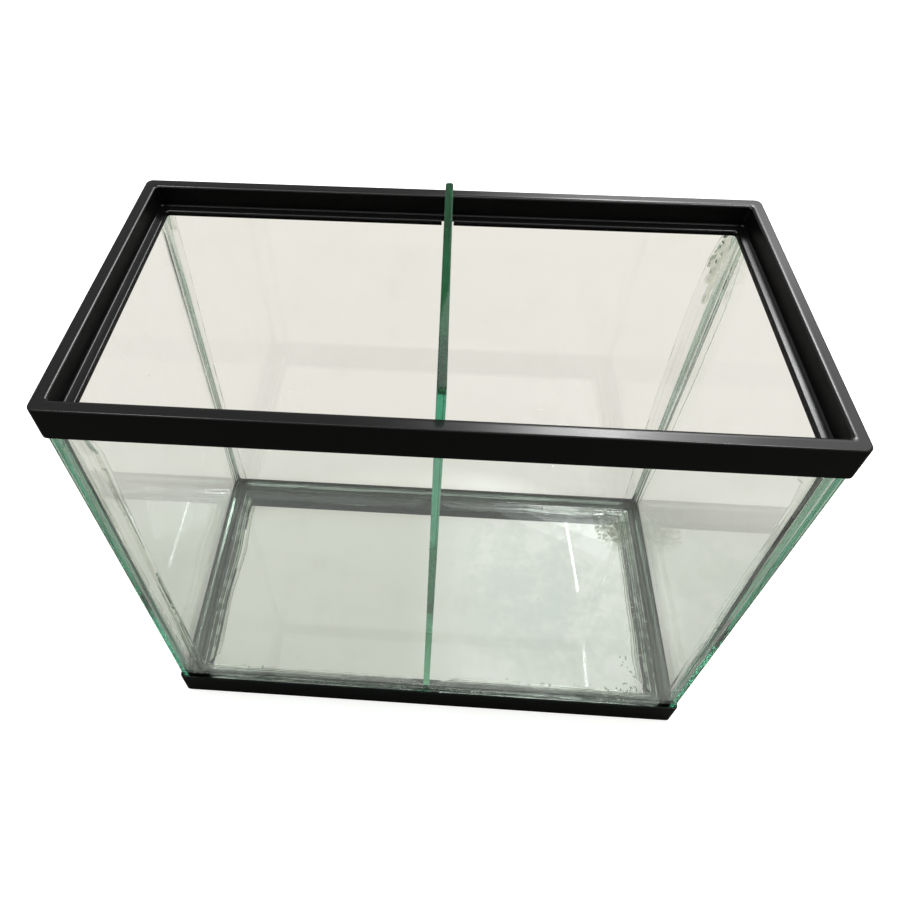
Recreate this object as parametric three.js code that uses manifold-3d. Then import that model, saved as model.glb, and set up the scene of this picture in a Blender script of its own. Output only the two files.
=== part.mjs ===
// Divided fish tank: five clear glass panes bonded with silicone between a moulded top frame
// and a moulded base frame, with a loose glass divider that lifts out of two notches.
// Millimetres, +Z up. The long side lies along X, the front faces -Y and the floor stands at z = 0.
import * as THREE from "three";
import { mergeVertices } from "three/addons/utils/BufferGeometryUtils.js";
import Module from "manifold-3d";

const wasm = await Module();
wasm.setup();

// Whole tank
const frameLength = 514;
const frameWidth = 257;
const tankHeight = 468;

// Glass panes: 3/16 in float glass, set in from the outside of the frames
const paneThickness = 4.75;
const paneInset = 3;
const paneArris = 0.5;
const paneBottom = 15.25;
const paneTop = 464;
const floorTop = 24;

// Silicone: structural bond between two panes, and the tooled bead over each inside corner
const jointWidth = 1;
const bondThickness = 0.5;
const bondClearance = 0.25;
const beadLeg = 6.5;
const beadTip = 0.375;
const beadCurveSteps = 8;

// Top frame: skirt outside the glass, flat land, drop wall, lid ledge and hanging lip
const skirtWall = 2.25;
const topSkirtHeight = 28.25;
const landWidth = 9.75;
const landThickness = 2.5;
const dropWallBack = 8;
const ledgeDepth = 20.25;
const ledgeThickness = 2.25;
const lipInset = 17;
const lipBack = 15;
const lipDrop = 24.5;
const edgeRound = 1;

// Base frame: low skirt, shelf under the panes and an inner stiffening rib
const baseSkirtHeight = 32;
const shelfTop = 14;
const shelfThickness = 3;
const shelfInset = 24;
const ribThickness = 2.25;

// Corner radii of both frames, seen from above
const outerCorner = 5;
const landCorner = 3;
const lipCorner = 2.5;
const channelCorner = 1;
const cornerSteps = 5;
const edgeSteps = 3;

// Divider: 1/4 in float glass, loose in the notches of the ledge and lip
const dividerThickness = 6.25;
const dividerCentre = 0.75;
const dividerReach = 113.5;
const dividerTop = 486;
const dividerCorner = 4;
const dividerCornerSteps = 4;
const notchWidth = 10;
const notchDepth = 3.25;

// Worked out from the sizes above
const outerX = frameLength / 2 - paneInset;
const outerY = frameWidth / 2 - paneInset;
const innerX = outerX - paneThickness;
const innerY = outerY - paneThickness;
const beadX = innerX - bondClearance;
const beadY = innerY - bondClearance;
const quarterTurn = Math.PI / 2;

// Finishes, with the colours of the photographed tank
const finishes = {
  blackPlastic: { color: 0x131716, roughness: 0.28, metalness: 0 },
  floatGlass: { color: 0xcfe3d9, roughness: 0.05, metalness: 0, transparent: true, opacity: 0.28 },
  dividerGlass: { color: 0x63ab8c, roughness: 0.05, metalness: 0, transparent: true, opacity: 0.45 },
  clearSilicone: { color: 0xb9c0b4, roughness: 0.35, metalness: 0, transparent: true, opacity: 0.6 },
};

const tank = new THREE.Group();

function addMesh(name, geometry, finish) {
  const mesh = new THREE.Mesh(geometry, new THREE.MeshStandardMaterial(finishes[finish]));
  mesh.name = name;
  tank.add(mesh);
  return mesh;
}

// Points of a rectangle with rounded corners, counter-clockwise from above
function roundedRectangle(halfX, halfY, radius) {
  const points = [];
  for (let corner = 0; corner < 4; corner += 1) {
    const signX = corner === 0 || corner === 3 ? 1 : -1;
    const signY = corner < 2 ? 1 : -1;
    for (let step = 0; step <= cornerSteps; step += 1) {
      const angle = quarterTurn * (corner + step / cornerSteps);
      const x = signX * (halfX - radius) + radius * Math.cos(angle);
      const y = signY * (halfY - radius) + radius * Math.sin(angle);
      points.push(new THREE.Vector2(x, y));
    }
  }
  return points;
}

// A section corner: its inset from the frame's outside, its height, the plan corner radius
// that it is swept with, and how far its own edge is rounded
function sectionCorner(inset, height, planRadius, round = 0) {
  return { place: new THREE.Vector3(inset, height, planRadius), round };
}

// Replaces each rounded section corner by points on its arc
function roundedSection(corners) {
  const section = [];
  corners.forEach(({ place, round }, index) => {
    if (round === 0) {
      section.push(place);
      return;
    }
    const before = corners[(index + corners.length - 1) % corners.length].place;
    const after = corners[(index + 1) % corners.length].place;
    const back = new THREE.Vector3(before.x - place.x, before.y - place.y, 0).normalize();
    const ahead = new THREE.Vector3(after.x - place.x, after.y - place.y, 0).normalize();
    for (let step = 0; step <= edgeSteps; step += 1) {
      const angle = (quarterTurn * step) / edgeSteps;
      const point = place.clone();
      point.addScaledVector(back, round * (1 - Math.sin(angle)));
      point.addScaledVector(ahead, round * (1 - Math.cos(angle)));
      section.push(point);
    }
  });
  return section;
}

// Sweeps a closed section round the frame and closes it on itself
function frameRing(section) {
  const positions = [];
  for (const point of section) {
    const halfX = frameLength / 2 - point.x;
    const halfY = frameWidth / 2 - point.x;
    for (const corner of roundedRectangle(halfX, halfY, point.z)) {
      positions.push(corner.x, corner.y, point.y);
    }
  }
  const loopLength = 4 * (cornerSteps + 1);
  const index = [];
  for (let loop = 0; loop < section.length; loop += 1) {
    const nextLoop = (loop + 1) % section.length;
    for (let spot = 0; spot < loopLength; spot += 1) {
      const nextSpot = (spot + 1) % loopLength;
      const a = loop * loopLength + spot;
      const b = loop * loopLength + nextSpot;
      const c = nextLoop * loopLength + nextSpot;
      const d = nextLoop * loopLength + spot;
      index.push(a, c, b, a, d, c);
    }
  }
  const geometry = new THREE.BufferGeometry();
  geometry.setAttribute("position", new THREE.Float32BufferAttribute(positions, 3));
  geometry.setIndex(index);
  return geometry;
}

function solidFrom(geometry) {
  const bare = geometry.clone();
  bare.deleteAttribute("normal");
  bare.deleteAttribute("uv");
  const merged = mergeVertices(bare);
  const vertProperties = new Float32Array(merged.attributes.position.array);
  const triVerts = new Uint32Array(merged.index.array);
  return new wasm.Manifold(new wasm.Mesh({ numProp: 3, vertProperties, triVerts }));
}

function geometryFrom(solid) {
  const cut = solid.getMesh();
  const geometry = new THREE.BufferGeometry();
  geometry.setAttribute("position", new THREE.BufferAttribute(cut.vertProperties, 3));
  geometry.setIndex(new THREE.BufferAttribute(cut.triVerts, 1));
  return geometry;
}

function topFrameGeometry() {
  const skirtBottom = tankHeight - topSkirtHeight;
  const landUnderside = tankHeight - landThickness;
  const ledgeTop = tankHeight - ledgeDepth;
  const ledgeUnderside = ledgeTop - ledgeThickness;
  const lipBottom = tankHeight - lipDrop;
  const ring = frameRing(roundedSection([
    sectionCorner(0, skirtBottom, outerCorner),
    sectionCorner(skirtWall, skirtBottom, channelCorner),
    sectionCorner(skirtWall, landUnderside, channelCorner),
    sectionCorner(dropWallBack, landUnderside, channelCorner),
    sectionCorner(dropWallBack, ledgeUnderside, channelCorner),
    sectionCorner(lipBack, ledgeUnderside, channelCorner),
    sectionCorner(lipBack, lipBottom, channelCorner),
    sectionCorner(lipInset, lipBottom, lipCorner),
    sectionCorner(lipInset, ledgeTop, lipCorner, edgeRound),
    sectionCorner(landWidth, ledgeTop, landCorner),
    sectionCorner(landWidth, tankHeight, landCorner, edgeRound),
    sectionCorner(0, tankHeight, outerCorner, edgeRound),
  ]));
  let frame = solidFrom(ring);
  const notchLength = 2 * notchDepth;
  const notchHeight = 2 * (lipDrop - ledgeDepth);
  for (const side of [-1, 1]) {
    const notch = new THREE.BoxGeometry(notchWidth, notchLength, notchHeight);
    notch.translate(dividerCentre, side * (frameWidth / 2 - lipInset), ledgeUnderside);
    frame = frame.subtract(solidFrom(notch));
  }
  return geometryFrom(frame);
}

function baseFrameGeometry() {
  const shelfUnderside = shelfTop - shelfThickness;
  const ribBack = shelfInset - ribThickness;
  return frameRing(roundedSection([
    sectionCorner(0, 0, outerCorner),
    sectionCorner(skirtWall, 0, channelCorner),
    sectionCorner(skirtWall, shelfUnderside, channelCorner),
    sectionCorner(ribBack, shelfUnderside, channelCorner),
    sectionCorner(ribBack, 0, channelCorner),
    sectionCorner(shelfInset, 0, landCorner),
    sectionCorner(shelfInset, shelfTop, landCorner, edgeRound),
    sectionCorner(skirtWall, shelfTop, channelCorner),
    sectionCorner(skirtWall, baseSkirtHeight, channelCorner),
    sectionCorner(0, baseSkirtHeight, outerCorner, edgeRound),
  ]));
}

// A sheet of glass with ground arrises, its broad side in the local XY plane
function sheetGeometry(outline, thickness) {
  const sheet = new THREE.ExtrudeGeometry(outline, {
    depth: thickness - 2 * paneArris,
    bevelEnabled: true,
    bevelThickness: paneArris,
    bevelSize: paneArris,
    bevelOffset: -paneArris,
    bevelSegments: 1,
    curveSegments: dividerCornerSteps,
  });
  sheet.translate(0, 0, paneArris - thickness / 2);
  return sheet;
}

function rectangleOutline(width, height) {
  const outline = new THREE.Shape();
  outline.moveTo(-width / 2, -height / 2);
  outline.lineTo(width / 2, -height / 2);
  outline.lineTo(width / 2, height / 2);
  outline.lineTo(-width / 2, height / 2);
  outline.closePath();
  return outline;
}

function addPanes() {
  const paneHeight = paneTop - paneBottom;
  const paneMiddle = (paneTop + paneBottom) / 2;
  const sideLength = 2 * (innerY - jointWidth);
  const floorLength = 2 * (innerX - jointWidth);
  const longOutline = rectangleOutline(2 * outerX, paneHeight);
  const shortOutline = rectangleOutline(sideLength, paneHeight);
  const floorOutline = rectangleOutline(floorLength, sideLength);

  const floor = addMesh("floor_glass", sheetGeometry(floorOutline, paneThickness), "floatGlass");
  floor.position.set(0, 0, floorTop - paneThickness / 2);

  for (const [name, side] of [["front_glass", -1], ["back_glass", 1]]) {
    const pane = addMesh(name, sheetGeometry(longOutline, paneThickness), "floatGlass");
    pane.rotation.set(quarterTurn, 0, 0);
    pane.position.set(0, side * (outerY - paneThickness / 2), paneMiddle);
  }
  for (const [name, side] of [["left_glass", -1], ["right_glass", 1]]) {
    const pane = addMesh(name, sheetGeometry(shortOutline, paneThickness), "floatGlass");
    pane.rotation.set(quarterTurn, 0, quarterTurn, "ZYX");
    pane.position.set(side * (outerX - paneThickness / 2), 0, paneMiddle);
  }
}

// The divider's outline: square at the floor, ground round at its two top corners
function addDivider() {
  const bottom = floorTop + bondClearance;
  const outline = new THREE.Shape();
  outline.moveTo(-dividerReach, bottom);
  outline.lineTo(dividerReach, bottom);
  outline.lineTo(dividerReach, dividerTop - dividerCorner);
  outline.absarc(dividerReach - dividerCorner, dividerTop - dividerCorner, dividerCorner, 0, quarterTurn);
  outline.lineTo(dividerCorner - dividerReach, dividerTop);
  outline.absarc(
    dividerCorner - dividerReach,
    dividerTop - dividerCorner,
    dividerCorner,
    quarterTurn,
    2 * quarterTurn,
  );
  outline.closePath();
  const divider = addMesh("divider_glass", sheetGeometry(outline, dividerThickness), "dividerGlass");
  divider.rotation.set(quarterTurn, 0, quarterTurn, "ZYX");
  divider.position.set(dividerCentre, 0, 0);
}

// Section of a tooled bead: two legs on the panes and a hollow face between blunt tips
function beadOutline() {
  const outline = new THREE.Shape();
  outline.moveTo(0, 0);
  outline.lineTo(beadLeg, 0);
  outline.absarc(beadLeg, beadLeg, beadLeg - beadTip, -quarterTurn, -2 * quarterTurn, true);
  outline.lineTo(0, beadLeg);
  outline.closePath();
  return outline;
}

function addCornerSeals() {
  const bottom = floorTop + beadLeg + 2 * bondClearance;
  const top = tankHeight - lipDrop;
  const bondLength = paneThickness - bondClearance;
  const corners = [
    ["front_left", -1, -1, 0],
    ["front_right", 1, -1, quarterTurn],
    ["back_right", 1, 1, 2 * quarterTurn],
    ["back_left", -1, 1, -quarterTurn],
  ];
  for (const [place, signX, signY, turn] of corners) {
    const bead = new THREE.ExtrudeGeometry(beadOutline(), {
      depth: top - bottom,
      bevelEnabled: false,
      curveSegments: beadCurveSteps,
    });
    const seal = addMesh(`corner_seal_${place}`, bead, "clearSilicone");
    seal.rotation.z = turn;
    seal.position.set(signX * beadX, signY * beadY, bottom);

    const strip = new THREE.BoxGeometry(bondLength, bondThickness, paneTop - paneBottom);
    const bond = addMesh(`corner_bond_${place}`, strip, "clearSilicone");
    const bondX = signX * (outerX - bondLength / 2);
    const bondY = signY * (innerY - jointWidth / 2);
    bond.position.set(bondX, bondY, (paneTop + paneBottom) / 2);
  }
}

// A bead that runs along local X with both ends mitred towards the tank's corners
function mitredBead(halfRun) {
  const points = beadOutline().getPoints(beadCurveSteps).slice(0, -1);
  const positions = [];
  for (const end of [-1, 1]) {
    for (const point of points) {
      positions.push(end * (halfRun - point.x), point.x, point.y);
    }
  }
  const count = points.length;
  const index = [];
  for (const [a, b, c] of THREE.ShapeUtils.triangulateShape(points, [])) {
    index.push(a, c, b, count + a, count + b, count + c);
  }
  for (let spot = 0; spot < count; spot += 1) {
    const next = (spot + 1) % count;
    index.push(spot, next, count + next, spot, count + next, count + spot);
  }
  const geometry = new THREE.BufferGeometry();
  geometry.setAttribute("position", new THREE.Float32BufferAttribute(positions, 3));
  geometry.setIndex(index);
  return geometry;
}

function addFloorSeals() {
  const height = floorTop + bondClearance;
  const mitreGap = bondClearance / 2;
  const sides = [
    ["front", 0, -beadY, beadX, 0],
    ["right", beadX, 0, beadY, quarterTurn],
    ["back", 0, beadY, beadX, 2 * quarterTurn],
    ["left", -beadX, 0, beadY, -quarterTurn],
  ];
  for (const [place, x, y, run, turn] of sides) {
    const seal = addMesh(`floor_seal_${place}`, mitredBead(run - mitreGap), "clearSilicone");
    seal.rotation.z = turn;
    seal.position.set(x, y, height);
  }
}

// A flat rectangular ring of silicone, from its outer and inner half sizes
function bondRing(outer, inner, height) {
  const outline = rectangleOutline(2 * outer.x, 2 * outer.y);
  outline.holes.push(rectangleOutline(2 * inner.x, 2 * inner.y));
  return new THREE.ExtrudeGeometry(outline, { depth: height, bevelEnabled: false });
}

function addBondRings() {
  const paneOutside = new THREE.Vector2(outerX, outerY);
  const paneInside = new THREE.Vector2(innerX, innerY);
  const underLand = tankHeight - landThickness - bondClearance;
  const overPanes = paneTop + bondClearance;
  const topBond = addMesh(
    "top_frame_bond",
    bondRing(paneOutside, paneInside, underLand - overPanes),
    "clearSilicone",
  );
  topBond.position.z = overPanes;

  const onShelf = shelfTop + bondClearance;
  const baseBond = addMesh(
    "base_frame_bond",
    bondRing(paneOutside, paneInside, paneBottom - bondClearance - onShelf),
    "clearSilicone",
  );
  baseBond.position.z = onShelf;

  const floorOutside = new THREE.Vector2(beadX, beadY);
  const floorInside = floorOutside.clone().subScalar(bondThickness);
  const floorBond = addMesh(
    "floor_bond",
    bondRing(floorOutside, floorInside, paneThickness),
    "clearSilicone",
  );
  floorBond.position.z = floorTop - paneThickness;
}

addPanes();
addMesh("top_frame", topFrameGeometry(), "blackPlastic");
addMesh("base_frame", baseFrameGeometry(), "blackPlastic");
addCornerSeals();
addFloorSeals();
addBondRings();
addDivider();

export default tank;
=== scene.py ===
import math
import random

import bmesh
import bpy
from mathutils import Matrix, Vector, noise


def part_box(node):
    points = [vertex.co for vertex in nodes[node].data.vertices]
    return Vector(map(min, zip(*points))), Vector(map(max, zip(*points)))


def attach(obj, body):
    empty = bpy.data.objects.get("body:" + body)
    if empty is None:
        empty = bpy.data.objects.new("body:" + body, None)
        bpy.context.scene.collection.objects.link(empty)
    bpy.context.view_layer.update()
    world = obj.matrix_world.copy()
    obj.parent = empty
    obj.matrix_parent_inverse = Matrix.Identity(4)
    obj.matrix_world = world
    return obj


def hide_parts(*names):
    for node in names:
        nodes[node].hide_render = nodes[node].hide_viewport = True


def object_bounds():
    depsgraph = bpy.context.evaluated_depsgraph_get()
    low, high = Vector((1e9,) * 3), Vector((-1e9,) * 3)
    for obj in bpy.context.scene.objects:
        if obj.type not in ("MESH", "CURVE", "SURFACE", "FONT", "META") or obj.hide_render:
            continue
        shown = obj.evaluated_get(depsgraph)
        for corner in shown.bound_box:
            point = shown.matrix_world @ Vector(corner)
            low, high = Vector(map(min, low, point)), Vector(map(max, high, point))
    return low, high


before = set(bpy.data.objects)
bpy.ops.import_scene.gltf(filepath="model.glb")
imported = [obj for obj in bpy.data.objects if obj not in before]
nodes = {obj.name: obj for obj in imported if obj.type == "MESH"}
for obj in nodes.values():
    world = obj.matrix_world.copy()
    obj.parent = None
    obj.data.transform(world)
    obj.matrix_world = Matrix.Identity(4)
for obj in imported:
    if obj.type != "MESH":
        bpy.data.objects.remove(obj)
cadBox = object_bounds()
scene = bpy.context.scene
mm = 0.001
print("frame loaded")


def channelToLinear(value):
    return value / 12.92 if value <= 0.04045 else ((value + 0.055) / 1.055) ** 2.4


def hexColour(text):
    channels = [int(text[spot:spot + 2], 16) / 255 for spot in (0, 2, 4)]
    return (*[channelToLinear(value) for value in channels], 1.0)


# Inputs go by name or number, or in their order in a tuple. A node given as one stands for its first
# output, and the kind of a shader node goes without its prefix
def addNode(tree, kind, inputs=(), **settings):
    node = tree.nodes.new(kind if "Node" in kind else "ShaderNode" + kind)
    for name, value in settings.items():
        setattr(node, name, value)
    for socket, source in (inputs.items() if isinstance(inputs, dict) else enumerate(inputs)):
        if isinstance(source, bpy.types.Node):
            source = next(output for output in source.outputs if output.enabled)
        if isinstance(source, bpy.types.NodeSocket):
            tree.links.new(source, node.inputs[socket])
        else:
            node.inputs[socket].default_value = source
    return node


def newMaterial(name):
    material = bpy.data.materials.new(name)
    material.use_nodes = True
    material.node_tree.nodes.clear()
    return material, material.node_tree


# A Map Range takes a value, the range that it comes from and, where that isn't 0 to 1, the range that
# it goes to
smooth = {"interpolation_type": "SMOOTHSTEP"}

# Camera: above the front of the tank, looking down into it
cameraView = {
    "place": (-0.002415, -0.407213, 0.821418),
    "tilt": 43.297,
    "roll": 0.192,
    "heading": 3.707,
    "lens": 29.718,
    "shiftX": 0.0525,
    "shiftY": -0.0953,
}


def addCamera(view):
    data = bpy.data.cameras.new("tankView")
    data.lens = view["lens"]
    data.shift_x = view["shiftX"]
    data.shift_y = view["shiftY"]
    camera = bpy.data.objects.new("tankView", data)
    camera.location = view["place"]
    camera.rotation_euler = [math.radians(view[turn]) for turn in ("tilt", "roll", "heading")]
    scene.collection.objects.link(camera)
    scene.camera = camera


addCamera(cameraView)
scene.view_settings.view_transform = "Standard"
# Light runs down the length of a pane in dozens of inner reflections, which makes its edges green
scene.cycles.max_bounces = 64
scene.cycles.transmission_bounces = 64
scene.cycles.glossy_bounces = 64
scene.cycles.transparent_max_bounces = 64
scene.cycles.caustics_reflective = False
scene.cycles.caustics_refractive = False
print("camera placed")

# Studio: pale paper under an even sky, soft panels behind, above and beside the tank, and two slim
# tubes high behind it that the floor pane mirrors. A panel's angles are degrees seen from the aim
# point, and its heading is 0 straight behind the tank. Glow is what the paper shows through glass
studio = {
    "floorRadius": 6.0,
    "floorSteps": 96,
    "paper": "efebe4",
    # The glow under the tank, left then right, is painted light, its darker left a painted reflection; the
    # glow beside the tank is painted shade
    "underPaintedGlow": ("e3dcd3", "fffaf4"),
    "besidePaintedShade": "bfbbb2",
    "behindGlow": "d6cfc8",
    "underReach": (0.31, 0.25),
    "underStretch": (1, 1.6, 1),
    "toneSplit": (-0.04, 0.08),
    "behindReach": (0.1, 0.16),
    "seenGlow": 0.75,
    "throughGlow": 0.82,
    "throughShade": 0.36,
    "mirrorShade": 0.25,
    "skyThrough": 0.8,
    "skyMirrored": 0.36,
    "skyLight": 0.34,
    "aimHeight": 0.45,
    "panels": {
        "keyPanel": {"heading": 18.5, "height": 47, "distance": 10, "wide": 8, "tall": 12, "radiance": 12.0},
        "haloPanel": {"heading": 21, "height": 44, "distance": 9, "wide": 17, "tall": 22, "radiance": 3.0},
        "widePanel": {"heading": 25, "height": 39, "distance": 8, "wide": 36, "tall": 34, "radiance": 1.3},
        "overPanel": {"heading": 3, "height": 87, "distance": 6, "wide": 70, "tall": 8, "radiance": 5.0},
        "rightPanel": {"heading": 58, "height": 62, "distance": 8, "wide": 7, "tall": 10, "radiance": 26.0},
        "leftPanel": {"heading": -58, "height": 62, "distance": 8, "wide": 6, "tall": 10, "radiance": 18.0},
    },
    "tubes": {
        "brightTube": {
            "ends": ((0.589, 1.369, 2.065), (0.639, 1.112, 2.200)), "thick": 0.011, "radiance": 60.0,
        },
        "lowTube": {
            "ends": ((0.660, 0.912, 2.289), (0.671, 0.752, 2.351)), "thick": 0.012, "radiance": 40.0,
        },
    },
}


def addLamp(name, centre, across, along, size, radiance):
    data = bpy.data.lights.new(name, "AREA")
    data.shape = "RECTANGLE"
    data.size, data.size_y = size
    data.energy = radiance * math.pi * data.size * data.size_y
    lamp = bpy.data.objects.new(name, data)
    axes = (across.normalized(), along.normalized(), across.cross(along).normalized())
    lamp.matrix_world = Matrix.Translation(centre) @ Matrix(axes).transposed().to_4x4()
    lamp.visible_camera = False
    scene.collection.objects.link(lamp)


def addPanel(name, values, aim):
    heading, height = math.radians(values["heading"]), math.radians(values["height"])
    away = Vector((
        math.sin(heading) * math.cos(height),
        math.cos(heading) * math.cos(height),
        math.sin(height),
    ))
    across = Vector((0, 0, 1)).cross(away)
    distance = values["distance"]
    size = [2 * distance * math.tan(math.radians(values[span] / 2)) for span in ("wide", "tall")]
    addLamp(name, aim + away * distance, across, away.cross(across), size, values["radiance"])


def addTube(name, values, aim):
    start, end = (Vector(place) for place in values["ends"])
    centre, along = (start + end) / 2, end - start
    across = along.cross(centre - aim)
    addLamp(name, centre, across, along, (values["thick"], along.length), values["radiance"])


def paperMaterial(values):
    material, tree = newMaterial("mattPaper")
    paths = addNode(tree, "LightPath").outputs
    through = paths["Is Transmission Ray"]
    seenGlow = addNode(tree, "Math", (paths["Is Camera Ray"], values["seenGlow"]), operation="MULTIPLY")
    throughGlow = addNode(tree, "Math", (through, values["throughGlow"]), operation="MULTIPLY")
    glow = addNode(tree, "Math", (seenGlow, throughGlow), operation="ADD")
    # Seen through glass, the paper is brightest under the tank and dimmest beside it, all painted light and
    # shade: a painted pool of light under the tank that lifts its shadow there, darker on the left as a
    # painted reflection of dim surroundings, and painted shade on the paper beside and in front of the tank
    place = addNode(tree, "TexCoord").outputs["Object"]
    spot = addNode(tree, "SeparateXYZ", (place,)).outputs
    deep = addNode(tree, "VectorMath", (place, values["underStretch"]), operation="MULTIPLY")
    fromTank = addNode(tree, "VectorMath", (deep,), operation="LENGTH")
    under = addNode(tree, "MapRange", (fromTank, *values["underReach"]), **smooth)
    behind = addNode(tree, "MapRange", (spot[1], *values["behindReach"]), **smooth)
    rightward = addNode(tree, "MapRange", (spot[0], *values["toneSplit"]), **smooth)
    besideShadeTone, behindTone = hexColour(values["besidePaintedShade"]), hexColour(values["behindGlow"])
    leftTone, rightTone = (hexColour(tone) for tone in values["underPaintedGlow"])
    aroundTone = addNode(tree, "Mix", {0: behind, 6: besideShadeTone, 7: behindTone}, data_type="RGBA")
    underTone = addNode(tree, "Mix", {0: rightward, 6: leftTone, 7: rightTone}, data_type="RGBA")
    glowTone = addNode(tree, "Mix", {0: under, 6: aroundTone, 7: underTone}, data_type="RGBA")
    lightTone = addNode(tree, "Mix", {0: through, 6: hexColour("ffffff"), 7: glowTone}, data_type="RGBA")
    # Light that arrives off a gloss or through glass finds the paper darker
    paper = paperTone = hexColour(values["paper"])
    for path, shade in (("Is Glossy Ray", "mirrorShade"), ("Is Transmission Ray", "throughShade")):
        shaded = (*[channel * values[shade] for channel in paper[:3]], 1.0)
        paperTone = addNode(tree, "Mix", {0: paths[path], 6: paperTone, 7: shaded}, data_type="RGBA")
    matt = addNode(tree, "BsdfDiffuse", {"Color": paperTone})
    light = addNode(tree, "Emission", {"Color": lightTone, "Strength": glow})
    both = addNode(tree, "AddShader", (matt, light))
    addNode(tree, "OutputMaterial", {"Surface": both})
    return material


def addFloor(values):
    mesh = bpy.data.meshes.new("paperFloor")
    radius, steps = values["floorRadius"], values["floorSteps"]
    turns = [math.tau * step / steps for step in range(steps)]
    rim = [(math.cos(turn) * radius, math.sin(turn) * radius, 0.0) for turn in turns]
    mesh.from_pydata(rim, [], [list(range(steps))])
    floor = bpy.data.objects.new("paperFloor", mesh)
    scene.collection.objects.link(floor)
    mesh.materials.append(paperMaterial(values))


def lightWorld(values):
    world = bpy.data.worlds.new("studio")
    world.use_nodes = True
    scene.world = world
    tree = world.node_tree
    tree.nodes.clear()
    paths = addNode(tree, "LightPath").outputs
    strength = addNode(tree, "Math", (paths["Is Camera Ray"], values["skyLight"]), operation="MAXIMUM")
    for path, amount in (("Is Transmission Ray", "skyThrough"), ("Is Glossy Ray", "skyMirrored")):
        share = addNode(tree, "Math", (paths[path], values[amount]), operation="MULTIPLY")
        strength = addNode(tree, "Math", (strength, share), operation="MAXIMUM")
    sky = addNode(tree, "Background", {"Color": hexColour("ffffff"), "Strength": strength})
    addNode(tree, "OutputWorld", {"Surface": sky})


# Cloudy pattern with patches of a real size. A stretch below 1 draws them out along that axis
def grain(tree, place, size, detail=3.0, roughness=0.5, stretch=(1, 1, 1)):
    stretched = addNode(tree, "VectorMath", (place, stretch), operation="MULTIPLY")
    return addNode(tree, "TexNoise", {
        "Vector": stretched, "Scale": 1 / size, "Detail": detail, "Roughness": roughness,
    })


# What every clear finish shares: a pale shadow, and a tint that deepens as light runs on inside
def closeGlass(tree, glass, values):
    shadow = addNode(tree, "LightPath").outputs["Is Shadow Ray"]
    clear = addNode(tree, "BsdfTransparent", {"Color": hexColour(values["shadowTint"])})
    surface = addNode(tree, "MixShader", (shadow, glass, clear))
    density = values["density"]
    tint = addNode(tree, "VolumeAbsorption", {
        "Color": (*[1 - value / density for value in values["absorbed"]], 1), "Density": density,
    })
    addNode(tree, "OutputMaterial", {"Surface": surface, "Volume": tint})


addFloor(studio)
lightWorld(studio)
aimPoint = Vector((0, 0, studio["aimHeight"]))
for panelName, panelValues in studio["panels"].items():
    addPanel(panelName, panelValues, aimPoint)
for tubeName, tubeValues in studio["tubes"].items():
    addTube(tubeName, tubeValues, aimPoint)
print("studio lit")

# Clear soda-lime float glass: its iron takes red out of light that runs far inside it, so cut edges
# look green and the broad faces clear. It is never quite clean: a haze, wiped streaks and a few specks.
# Here and in the other finishes a band is where a pattern starts and where it is full, followed by
# its least and most where those aren't 0 and 1
floatGlass = {
    "ior": 1.52,
    "absorbed": (8.4, 3.0, 4.6),  # per metre: red, green, blue
    "density": 10.0,
    "shadowTint": "f2f8f4",
    "edgeBand": (-0.05 * mm, 0.02 * mm),
    "edgeRoughness": 0.1,
    "edgeNibble": 0.2,
    "arrisTilt": (0.15, 0.4),
    "arrisRoughness": (0.02, 0.22),  # the polished edge, the arris
    "arrisNibble": 0.5,
    "nibbleSize": 1.1 * mm,
    "nibbleDepth": 0.3 * mm,
    "haze": 0.01,
    "hazeTone": "fafaf7",
    "fullVeil": 0.02,
    "blotchSize": 55 * mm,
    "blotchBand": (0.4, 0.75),
    "streakSize": 9 * mm,
    "streakBand": (0.35, 0.7, 0.4, 1.0),
    "mottleBand": (0.38, 0.62),
    "speckSpacing": 30 * mm,
    "speckSize": 0.03,
    "speckChance": 0.4,
    "speckStrength": 0.6,
    "speckTone": "77746a",
    # The raw foot's bright green: a painted glow of the light carried down the sheet, shown through its
    # milky facets
    "rawGlowTone": "a6ffcb",
    "rawDepth": 1.4 * mm,
    "rawRoughness": (0.5, 0.3),  # between the facets, on them
    "facetSize": 2.5 * mm,
    "facetBand": (0.35, 0.65),
    "facetMilk": 0.5,
}


# The dry edges are found by their place in the pane's box: rimAxis is the axis whose two ends are dry.
# Edges bedded in silicone stay clear. A sheet is the divider, and its top is dry too
def dryEdge(tree, place, box, rimAxis, arris, sheet):
    low, high = box
    ground = (high - low) / 2 - Vector((arris, arris, arris))
    fromMiddle = addNode(tree, "VectorMath", (place, (low + high) / 2), operation="SUBTRACT")
    unsigned = addNode(tree, "VectorMath", (fromMiddle,), operation="ABSOLUTE")
    past = addNode(tree, "VectorMath", (unsigned, ground), operation="SUBTRACT")
    axes = addNode(tree, "SeparateXYZ", (past,)).outputs
    rim = axes[rimAxis]
    if sheet:
        rim = addNode(tree, "Math", (rim, axes[2]), operation="MAXIMUM")
    return addNode(tree, "MapRange", (rim, *floatGlass["edgeBand"]), **smooth)


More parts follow.
